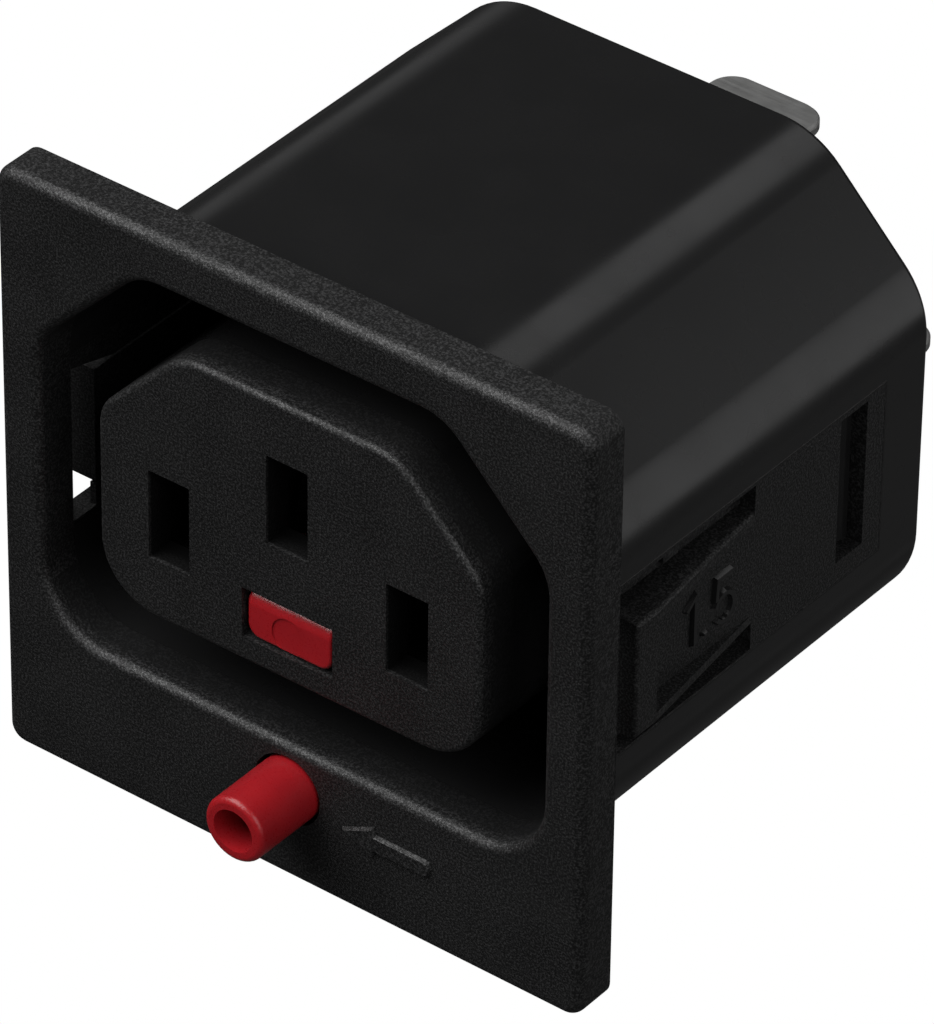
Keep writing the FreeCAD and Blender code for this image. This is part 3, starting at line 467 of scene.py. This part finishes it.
# %% [markdown]
# ## Which edges are smooth
#
# The rule above decides, with two limits: a bend too slight to see is always smooth, and one of
# more than 63 degrees never is. A facet's width is its doubled area over the length of the edge.

# %% Smooth edges and groups
FLAT_BEND = 0.003                       # in radians
SHARP_BEND = 1.1


def smooth_edges(corners, points, normal, size):
    """For each vertex, the pairs of faces that meet there in a smooth edge."""
    sides = {}
    for face, (a, b, c) in enumerate(corners.tolist()):
        for one, two in ((a, b), (b, c), (c, a)):
            sides.setdefault((min(one, two), max(one, two)), []).append(face)
    smooth_at = {}
    for (one, two), pair in sides.items():
        if len(pair) != 2:
            continue
        first, second = pair
        bend = math.acos(max(-1.0, min(1.0, float(normal[first] @ normal[second]))))
        length = float(np.linalg.norm(points[one] - points[two]))
        width = min(size[first], size[second]) / max(length, TINY)
        if bend < FLAT_BEND or (bend < SHARP_BEND and width * bend / 8 <= STRAY):
            smooth_at.setdefault(one, []).append(pair)
            smooth_at.setdefault(two, []).append(pair)
    return smooth_at


def group_faces(faces, joined):
    """Groups of faces that are linked by the joined pairs."""
    parent = {face: face for face in faces}

    def root(face):
        while parent[face] != face:
            face = parent[face]
        return face

    for a, b in joined:
        parent[root(a)] = root(b)
    groups = {}
    for face in faces:
        groups.setdefault(root(face), []).append(face)
    return groups.values()


# %% [markdown]
# ## The corners' normals
#
# One pass over the vertices then sums each group, and hands the result to the mesh.

# %% Corner normals
def shade_curves(mesh):
    """Give a welded triangle mesh corner normals: around a vertex, each group's sum of face
    normals times corner angle times flat area, at unit length."""
    mesh.shade_smooth()
    corners, points = read_triangles(mesh)
    triangle = points[corners]
    normal, size = face_normals(triangle)
    weight = corner_angles(triangle) * flat_areas(triangle, normal, size)[:, None]
    smooth_at = smooth_edges(corners, points, normal, size)
    around = {}
    for face, vertices in enumerate(corners.tolist()):
        for corner, vertex in enumerate(vertices):
            around.setdefault(vertex, {})[face] = corner
    result = np.empty((len(corners), 3, 3))
    for vertex, corner_of in around.items():
        for group in group_faces(corner_of, smooth_at.get(vertex, ())):
            total = sum(normal[face] * weight[face, corner_of[face]] for face in group)
            length = np.linalg.norm(total)
            for face in group:
                result[face, corner_of[face]] = total / length if length > 0 else normal[face]
    mesh.normals_split_custom_set(result.reshape(-1, 3).tolist())


# %% [markdown]
# ## A skin for each solid
#
# The CAD nodes already have the right shapes and could wear the finishes themselves. But a node's
# mesh must stay as it is, and corner normals belong to a mesh. So each node is hidden behind a
# copy: the same triangles with their corners welded, shaded as above and with its finish.

# %% Copies with their finish
WELD = 2e-7                             # corners closer than this are one


def new_piece(name, mesh, material, body, slot):
    """Object for a mesh, with its finish, riding on a body."""
    mesh.materials.clear()
    mesh.materials.append(material)
    obj = bpy.data.objects.new(name, mesh)
    bpy.context.scene.collection.objects.link(obj)
    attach(obj, body)
    print(f"{name}: {len(mesh.polygons)} faces, rides on {body}")
    return obj


def skin(name):
    """Welded and shaded copy of a CAD node."""
    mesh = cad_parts[name].data.copy()
    work = bmesh.new()
    work.from_mesh(mesh)
    bmesh.ops.remove_doubles(work, verts=work.verts, dist=WELD)
    bmesh.ops.dissolve_degenerate(work, edges=work.edges, dist=WELD)
    bmesh.ops.triangulate(work, faces=work.faces)
    work.to_mesh(mesh)
    work.free()
    shade_curves(mesh)
    obj = new_piece(name + "_skin", mesh, *FINISHES[name])
    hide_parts(name)
    return obj


skins = {name: skin(name) for name in FINISHES}

# %% [markdown]
# ## The springs' own meshes
#
# Each spring stands between a fixed seat behind it and a piece that comes back towards it. Here
# each spring's skin is given a mesh of its own.


def shorten(name):
    """Give a spring's skin a copy of its own mesh."""
    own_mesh(skins[name])


shorten("return_spring")
shorten("lock_spring")

# %% [markdown]
# ## A raised arrow
#
# An arrow beside the button stands proud of the moulding. It is cut into the mould, so its sides
# lean in by the draft that lets the mould open. A flat curve with an extrusion and a bevel could
# give that too. A closed outline carried through three levels shows better what each number does:
# one level under the surface, one near the top, and the top itself, each drawn in a little
# further. With $o$ a point of the surface, $\hat a$ and $\hat b$ its two directions, and
# $\hat n$ outwards:
#
# $$ p(u, v, h) = o + u\,\hat a + v\,\hat b + h\,\hat n $$

# %% Outline of the arrow, and the function that raises it
ARROW = np.array([(3.21, -12.75), (5.23, -13.70), (5.33, -13.26), (8.20, -13.26), (8.45, -13.16),
                  (8.57, -12.92), (8.57, -12.58), (8.45, -12.33), (8.20, -12.24),
                  (5.35, -12.24), (5.23, -11.80)])     # x and z, in millimetres
ARROW_HEIGHT = 0.2
ARROW_DRAFT = 0.14
ARROW_ROOT = 0.05                       # how far it reaches under the surface
ARROW_LEVELS = ((-ARROW_ROOT, 0.0), (0.8 * ARROW_HEIGHT, 0.75 * ARROW_DRAFT),
                (ARROW_HEIGHT, ARROW_DRAFT))           # each level's height and draw


def unit(rows):
    """Each row divided by its length."""
    return rows / np.linalg.norm(rows, axis=1)[:, None]


def drawn_in(outline, draw):
    """An anticlockwise outline moved inwards: each corner goes along the sum m of its two sides'
    inward normals, by 2 draw m / |m|^2, where |m|^2 counts as 0.8 at least, so that a sharp
    corner doesn't run away."""
    after = unit(np.roll(outline, -1, axis=0) - outline)
    before = np.roll(after, 1, axis=0)
    inward = np.stack([-before[:, 1] - after[:, 1], before[:, 0] + after[:, 0]], 1)
    return outline + inward * (2 * draw / np.maximum((inward ** 2).sum(1), 0.8))[:, None]


def grid_faces(rows, columns, around):
    """Quads between neighbours on a grid of points; around closes each row on itself."""
    row = np.arange(rows - 1)[:, None]
    column = np.arange(columns if around else columns - 1)[None, :]
    beside = (column + 1) % columns
    corners = (row * columns + column, row * columns + beside,
               (row + 1) * columns + beside, (row + 1) * columns + column)
    return np.stack(np.broadcast_arrays(*corners), -1).reshape(-1, 4).tolist()


def raised_arrow():
    """A ring of the outline for each level, at (x, front of the bezel less its height, z), quads
    between the rings and a cap on the last."""
    rings = []
    for height, draw in ARROW_LEVELS:
        ring = drawn_in(ARROW, draw)
        out = np.full(len(ring), FACE_Y / MM - height)
        rings.append(np.stack([ring[:, 0], out, ring[:, 1]], 1))
    count = len(ARROW)
    faces = grid_faces(len(rings), count, around=True)
    faces.append(list(range((len(rings) - 1) * count, len(rings) * count)))
    mesh = bpy.data.meshes.new("arrow")
    mesh.from_pydata((np.concatenate(rings) * MM).tolist(), [], faces)
    new_piece("arrow", mesh, *FINISHES["housing"])


raised_arrow()

# %% [markdown]
# ## Raised figures
#
# The side of each snap tongue says how thick a panel it takes, in millimetres. A text object
# could give the figures, but a font's outlines have no sloping sides, and a bevel on them breaks
# at sharp corners. As an engraver would, this lesson cuts each figure in a few strokes. A stroke
# is a profile carried along a path: its cross-section is a ridge with a flat top, and one more
# row at each end, back at the surface, closes it with a slope. The bowl of the 5 is an arc of an
# ellipse:
#
# $$ u = u_0 + a\cos t, \qquad v = v_0 + b\sin t $$

# %% Paths of the strokes
BOWL = np.radians(np.linspace(158.0, -140.0, 17))
STROKES = [                             # y and z, in millimetres
    [(6.60, 0.46), (7.22, 0.96), (7.26, -1.74)],
    [(8.08, -1.62), (8.08, -1.54)],
    [(10.06, 0.94), (8.97, 0.94), (8.88, -0.24)],
    np.stack([9.52 + 0.70 * np.cos(BOWL), -0.88 + 0.78 * np.sin(BOWL)], 1),
]
RIDGE_HEIGHT = 0.22
RIDGE_FOOT = 0.21                       # half the stroke's width at its foot
RIDGE_TOP = 0.11                        # and at its top
RIDGE_ROOT = 0.03                       # how far it reaches under the surface


def ridge(path):
    """Grid of points (along, up, out) over a path: path point i, plus profile offset j along the
    path's own normal, divided by the cosine of half the bend (0.6 at least), so that the stroke
    keeps its width."""
    path = np.asarray(path, dtype=float)
    step = unit(np.diff(path, axis=0))
    ahead = np.vstack([step, step[-1:]])
    tangent = unit(ahead + np.vstack([step[:1], step]))
    normal = np.stack([-tangent[:, 1], tangent[:, 0]], 1)
    normal /= np.maximum((tangent * ahead).sum(1), 0.6)[:, None]
    slope = RIDGE_FOOT - RIDGE_TOP
    path = np.vstack([path[:1] - step[:1] * slope, path, path[-1:] + step[-1:] * slope])
    normal = np.vstack([normal[:1], normal, normal[-1:]])
    offset = np.array([-RIDGE_FOOT, -RIDGE_TOP, RIDGE_TOP, RIDGE_FOOT])
    height = np.array([-RIDGE_ROOT, RIDGE_HEIGHT, RIDGE_HEIGHT, -RIDGE_ROOT])
    flat = path[:, None, :] + normal[:, None, :] * offset[None, :, None]
    out = np.tile(height, (len(path), 1))
    out[[0, -1]] = -RIDGE_ROOT
    return np.concatenate([flat, out[:, :, None]], 2)


print("points in each stroke:", [len(path) for path in STROKES])

# %% [markdown]
# ## The figures on both sides
#
# The strokes of a figure are joined into one mesh and stood on the slide's surface, at
# $x = \pm 16$ mm. On the left they are turned about their middle, so that they read from left to
# right there too. They were cut with a tool that left the mould bright, so their finish is
# smooth, and their steep sides glint against the grain.

# %% Figures on the right and on the left
HALF_BODY = 16.0                        # the slides' distance from the middle, in millimetres
FIGURES_SPAN = 6.60 + 10.2              # twice the middle of the figures along y


def polished_marks():
    n = Nodes("polished_marks", (0.0070, 0.0070, 0.0071), 0.27, specular=0.5)
    return n.use(Base_Color=n.shade(n.noise(900.0, 2.0), 0.0058, 0.0082))


def figures(name, side, material):
    """The strokes on the right (+1) or left (-1) slide, at (side (HALF_BODY + out), y, z), where
    y is FIGURES_SPAN less the stroke's own on the left."""
    points, faces, start = [], [], 0
    for path in STROKES:
        grid = ridge(path)
        rows, columns = grid.shape[:2]
        quads = np.array(grid_faces(rows, columns, around=False))[:, ::-1]
        faces += (quads + start).tolist()
        points.append(grid.reshape(-1, 3))
        start += rows * columns
    along, up, out = np.concatenate(points).T
    if side < 0:
        along = FIGURES_SPAN - along
    placed = np.stack([side * (HALF_BODY + out), along, up], 1) * MM
    mesh = bpy.data.meshes.new(name)
    mesh.from_pydata(placed.tolist(), [], faces)
    new_piece(name, mesh, material, *FINISHES["housing"][1:])


BRIGHT = polished_marks()
figures("panel_figures_right", 1, BRIGHT)
figures("panel_figures_left", -1, BRIGHT)

# %% [markdown]
# ## Light
#
# Black plastic gives back almost no light of its own, so the reflections of large dim lamps draw
# its shape. Lamps could be moved about by eye until their reflections fall well. Working out each
# place is quicker, because a reflection's direction follows from the surface normal $\hat n$ and
# the direction $\hat v$ to the viewer:
#
# $$ \hat r = 2(\hat n \cdot \hat v)\,\hat n - \hat v $$
#
# With $\hat n$ on the rounding between the top and the chamfer, $\hat r$ points up and back, and
# on the rounding between the chamfer and the side it points back to the right. One lamp stands in
# each of those places, with a very dim one between them for the flat of the chamfer and one low
# at the right for the flat of the side. Another stands low at the left. The key, large and high
# at the left, lights the top and the front evenly, a smaller lamp under it draws the upper edges
# of the bezel and the nose, and one at the right fills the side. A lamp's radiance is its power
# divided by $\pi$ times its area.

# %% Lamps
AIM = Vector((0.0, 10.0 * MM, 0.0))
LAMPS = {                               # direction, distance, width and height, radiance
    "key": ((-0.38, -0.45, 0.81), 520, (560, 460), 4.4),
    "back_strip": ((0.06, 0.66, 0.72), 500, (270, 150), 1.05),
    "back_fill": ((0.50, 0.64, 0.60), 520, (330, 260), 0.08),
    "right_strip": ((0.72, 0.66, 0.12), 500, (200, 360), 0.95),
    "left_strip": ((-0.74, 0.65, 0.20), 500, (190, 170), 0.23),
    "front_strip": ((-0.49, -0.59, 0.64), 500, (260, 210), 1.8),
    "right_fill": ((0.80, -0.35, 0.48), 520, (400, 400), 2.0),
    "low_right": ((0.50, 0.72, -0.48), 500, (280, 260), 0.055),
}


def softbox(name, direction, distance, size, radiance):
    """Rectangular lamp that faces the outlet from a direction; sizes in millimetres."""
    data = bpy.data.lights.new(name, "AREA")
    data.shape = "RECTANGLE"
    data.size, data.size_y = size[0] * MM, size[1] * MM
    data.energy = radiance * math.pi * data.size * data.size_y
    lamp = bpy.data.objects.new(name, data)
    bpy.context.scene.collection.objects.link(lamp)
    lamp.location = AIM + Vector(direction).normalized() * distance * MM
    lamp.rotation_mode = "QUATERNION"
    lamp.rotation_quaternion = (AIM - lamp.location).to_track_quat("-Z", "Y")
    print(f"{name}: {data.energy:.3f} W")


for name, settings in LAMPS.items():
    softbox(name, *settings)

# %% [markdown]
# ## Floor and surround
#
# The floor is a plain pale sheet two metres below the outlet. Nearer, it would lie in every
# shallow reflection and draw pale rims round the black plastic. A white surround would do the
# same, so it is almost dark. To the camera alone, and to no reflection, both are white.

# %% White to the camera
WHITE = (1.0, 1.0, 1.0, 1.0)
PALE = (0.8, 0.8, 0.8, 1.0)
FLOOR_Z = -2.0
REACH = 5.0                             # half the floor's width
SURROUND_STRENGTH = 0.025


def white_to_camera(tree, white_kind, output_kind, other):
    """Link a tree's output to white of strength 1 for camera rays, and to another shader's
    output for the rest."""
    white = tree.nodes.new(white_kind)
    white.inputs["Color"].default_value = WHITE
    white.inputs["Strength"].default_value = 1.0
    rays = tree.nodes.new("ShaderNodeLightPath")
    choose = tree.nodes.new("ShaderNodeMixShader")
    output = tree.nodes.new(output_kind)
    tree.links.new(rays.outputs["Is Camera Ray"], choose.inputs[0])
    tree.links.new(other.outputs[0], choose.inputs[1])
    tree.links.new(white.outputs[0], choose.inputs[2])
    tree.links.new(choose.outputs[0], output.inputs["Surface"])


paper = bpy.data.materials.new("paper")
paper.use_nodes = True
paper.node_tree.nodes.clear()
diffuse = paper.node_tree.nodes.new("ShaderNodeBsdfDiffuse")
diffuse.inputs["Color"].default_value = PALE
white_to_camera(paper.node_tree, "ShaderNodeEmission", "ShaderNodeOutputMaterial", diffuse)

floor_mesh = bpy.data.meshes.new("floor")
floor_mesh.from_pydata([(-REACH, -REACH, FLOOR_Z), (REACH, -REACH, FLOOR_Z),
                        (REACH, REACH, FLOOR_Z), (-REACH, REACH, FLOOR_Z)], [], [(0, 1, 2, 3)])
floor_mesh.materials.append(paper)
floor = bpy.data.objects.new("floor", floor_mesh)
bpy.context.scene.collection.objects.link(floor)
floor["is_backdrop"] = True

world = bpy.data.worlds.new("surround")
bpy.context.scene.world = world
world.use_nodes = True
world.node_tree.nodes.clear()
dim = world.node_tree.nodes.new("ShaderNodeBackground")
dim.inputs["Color"].default_value = WHITE
dim.inputs["Strength"].default_value = SURROUND_STRENGTH
white_to_camera(world.node_tree, "ShaderNodeBackground", "ShaderNodeOutputWorld", dim)
print("floor at", FLOOR_Z, "m, surround at", SURROUND_STRENGTH)

# %% [markdown]
# ## Sizes and finish
#
# The raised marks lie within the solids' own box, so the box of the finished outlet has to be the
# one that was measured at the start.

# %% Sizes and finish
low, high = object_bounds()
